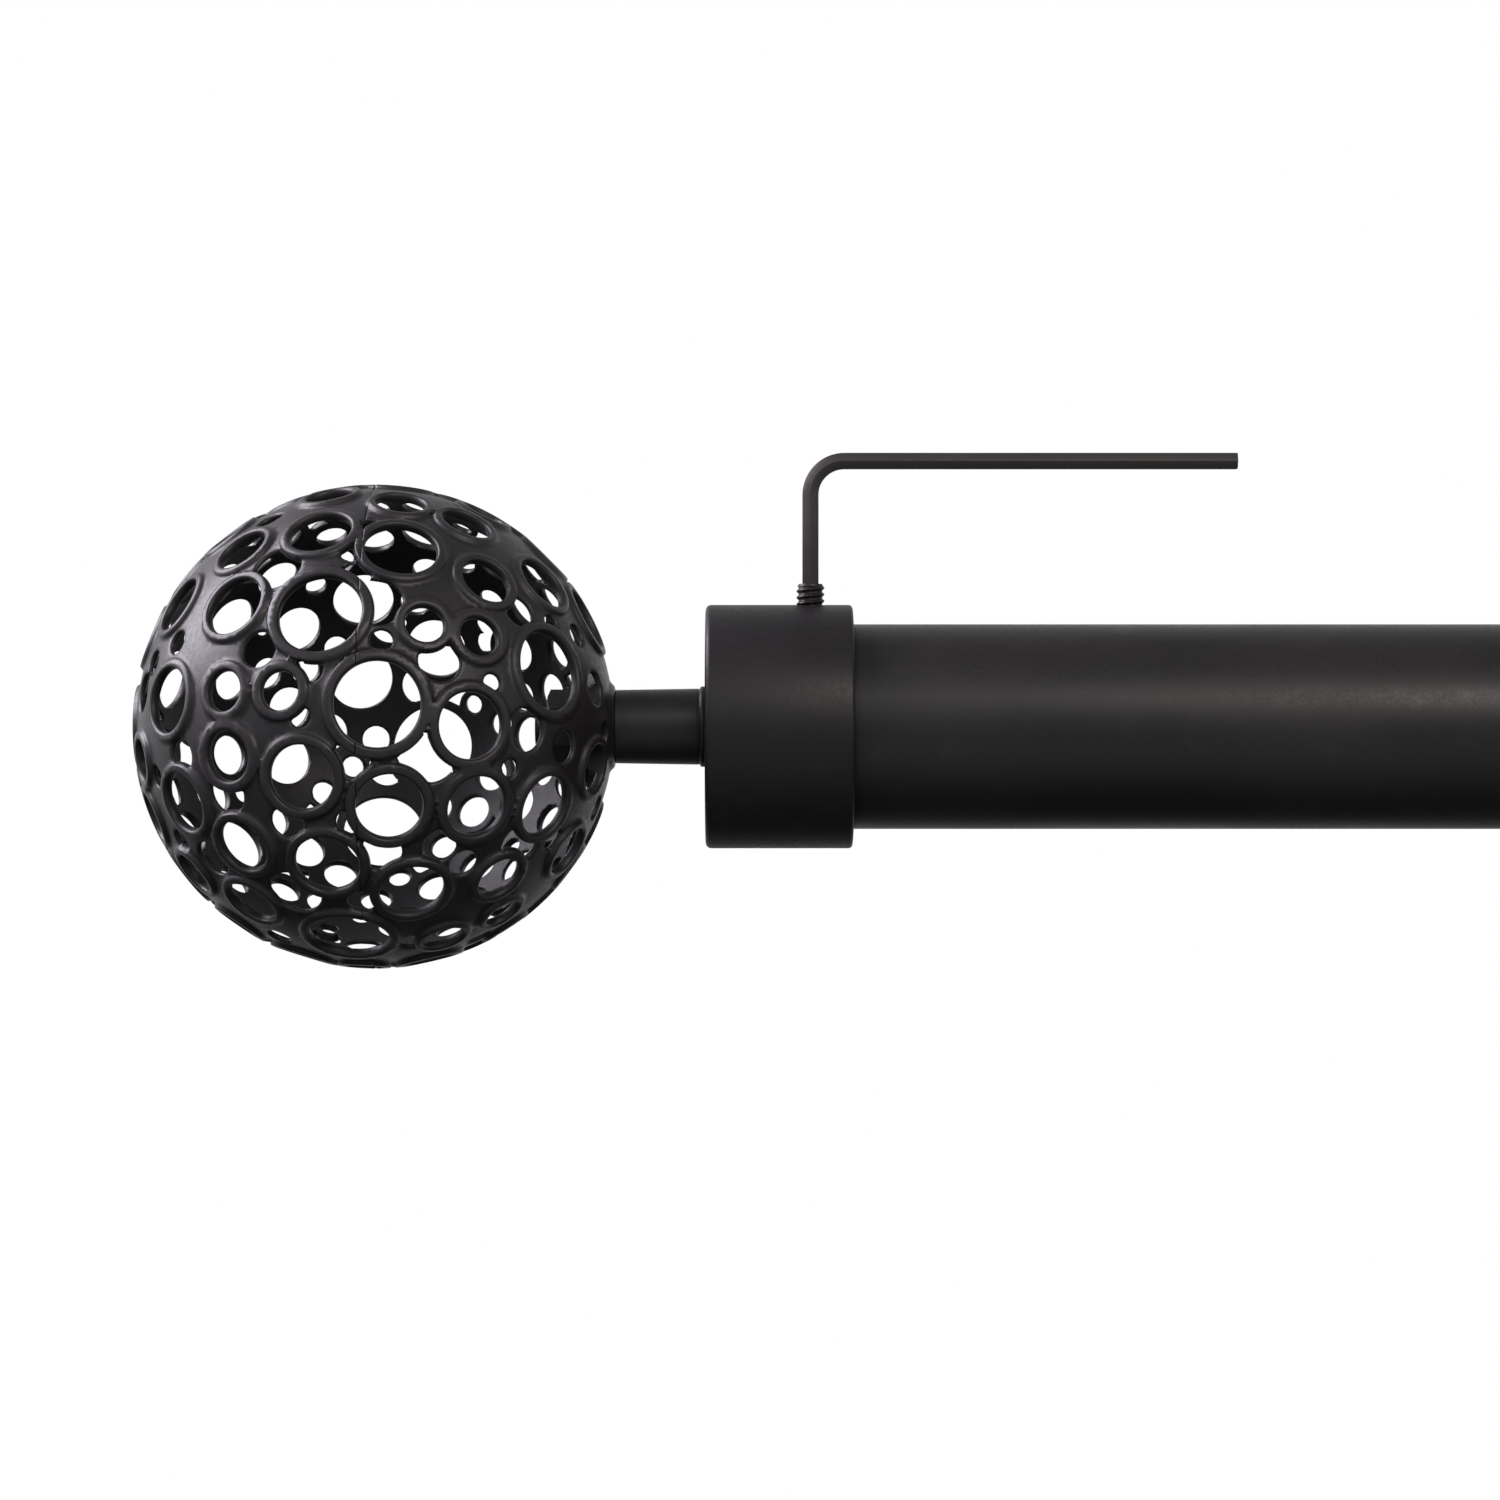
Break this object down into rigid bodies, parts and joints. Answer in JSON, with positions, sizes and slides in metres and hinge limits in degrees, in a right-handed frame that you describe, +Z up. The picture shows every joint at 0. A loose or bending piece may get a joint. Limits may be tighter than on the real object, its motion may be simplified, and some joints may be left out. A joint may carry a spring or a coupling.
{
  "type": "telescoping curtain rod with wall brackets",
  "caption": "Telescoping black metal curtain rod with openwork ball finials, end caps with set screws, a hexagon key and sliding-arm wall brackets with open cradles.",
  "frame": {"origin": "centre of the left wall plate's back face, on the wall, level with the rod's middle", "axes": "+X along the rod to the right, +Y into the wall, +Z up; the room is on the -Y side"},
  "size_m": [0.6287, 0.12, 0.066],
  "materials": {
    "rod_black": "satin black powder coat with a soft sheen",
    "finial_black": "satin black powder coat over a cast and drawn openwork shell",
    "cap_black": "satin black powder coat on a turned cap",
    "bracket_black": "satin black powder coat on pressed and turned steel",
    "screw_black_oxide": "black oxide with worn thread crests",
    "key_steel": "darkened bare steel, semi-gloss",
    "fixing_black": "blackened steel fixings",
    "black_plastic": "moulded matt plastic"
  },
  "bodies": {
    "wall_mounts": {"left_wall_plate": "bracket_black", "left_arm_socket": "bracket_black", "right_wall_plate": "bracket_black", "right_arm_socket": "bracket_black"},
    "left_arm": {"left_arm": "bracket_black", "left_cradle": "bracket_black"},
    "right_arm": {"right_arm": "bracket_black", "right_cradle": "bracket_black"},
    "left_arm_screw": {"left_arm_screw": "screw_black_oxide"},
    "right_arm_screw": {"right_arm_screw": "screw_black_oxide"},
    "left_thumb_screw": {"left_thumb_screw": "screw_black_oxide"},
    "right_thumb_screw": {"right_thumb_screw": "screw_black_oxide"},
    "rod": {"outer_tube": "rod_black", "mouth_bush": "black_plastic"},
    "inner_rod": {"inner_tube": "rod_black", "inner_tube_plug": "black_plastic"},
    "left_cap": {"left_end_cap": "cap_black"},
    "left_finial": {"left_ball_outer_half": "finial_black", "left_ball_neck_half": "finial_black", "left_neck": "finial_black", "left_finial_stud": "fixing_black", "left_washer": "fixing_black", "left_nut": "fixing_black"},
    "left_set_screw": {"left_set_screw": "screw_black_oxide"},
    "hex_key": {"hex_key": "key_steel"},
    "right_cap": {"right_end_cap": "cap_black"},
    "right_finial": {"right_ball_outer_half": "finial_black", "right_ball_neck_half": "finial_black", "right_neck": "finial_black", "right_finial_stud": "fixing_black", "right_washer": "fixing_black", "right_nut": "fixing_black"},
    "right_set_screw": {"right_set_screw": "screw_black_oxide"}
  },
  "joints": [
    {"name": "left_arm_depth", "type": "slide", "parent": "wall_mounts", "child": "left_arm", "axis": [0, -1, 0], "range_m": [-0.008, 0.014]},
    {"name": "right_arm_depth", "type": "slide", "parent": "wall_mounts", "child": "right_arm", "axis": [0, -1, 0], "range_m": [-0.008, 0.014]},
    {"name": "left_arm_screw_turn", "type": "hinge", "parent": "wall_mounts", "child": "left_arm_screw", "pos_m": [0, -0.031, 0], "axis": [0, 0, 1], "continuous": true},
    {"name": "right_arm_screw_turn", "type": "hinge", "parent": "wall_mounts", "child": "right_arm_screw", "pos_m": [0.22, -0.031, 0], "axis": [0, 0, 1], "continuous": true},
    {"name": "left_thumb_screw_turn", "type": "hinge", "parent": "left_arm", "child": "left_thumb_screw", "pos_m": [0, -0.109, 0], "axis": [0, 1, 0], "continuous": true},
    {"name": "right_thumb_screw_turn", "type": "hinge", "parent": "right_arm", "child": "right_thumb_screw", "pos_m": [0.22, -0.109, 0], "axis": [0, 1, 0], "continuous": true},
    {"name": "rod_lift", "type": "slide", "parent": "left_arm", "child": "rod", "axis": [0, 0, 1], "range_m": [0, 0.035]},
    {"name": "rod_telescope", "type": "slide", "parent": "rod", "child": "inner_rod", "axis": [1, 0, 0], "range_m": [-0.058, 0.245]},
    {"name": "left_cap_pull", "type": "slide", "parent": "rod", "child": "left_cap", "axis": [-1, 0, 0], "range_m": [0, 0.03]},
    {"name": "left_finial_turn", "type": "hinge", "parent": "left_cap", "child": "left_finial", "pos_m": [-0.133, -0.09, 0], "axis": [1, 0, 0], "continuous": true},
    {"name": "left_set_screw_turn", "type": "hinge", "parent": "left_cap", "child": "left_set_screw", "pos_m": [-0.12, -0.09, 0.0153], "axis": [0, 0, 1], "continuous": true},
    {"name": "hex_key_lift", "type": "slide", "parent": "left_set_screw", "child": "hex_key", "axis": [0, 0, 1], "range_m": [0, 0.03]},
    {"name": "right_cap_pull", "type": "slide", "parent": "inner_rod", "child": "right_cap", "axis": [1, 0, 0], "range_m": [0, 0.03]},
    {"name": "right_finial_turn", "type": "hinge", "parent": "right_cap", "child": "right_finial", "pos_m": [0.3545, -0.09, 0], "axis": [1, 0, 0], "continuous": true},
    {"name": "right_set_screw_turn", "type": "hinge", "parent": "right_cap", "child": "right_set_screw", "pos_m": [0.3415, -0.09, 0.0153], "axis": [0, 0, 1], "continuous": true}
  ],
  "couplings": [
    {"joint": "right_arm_depth", "follows": "left_arm_depth", "ratio": 1}
  ]
}
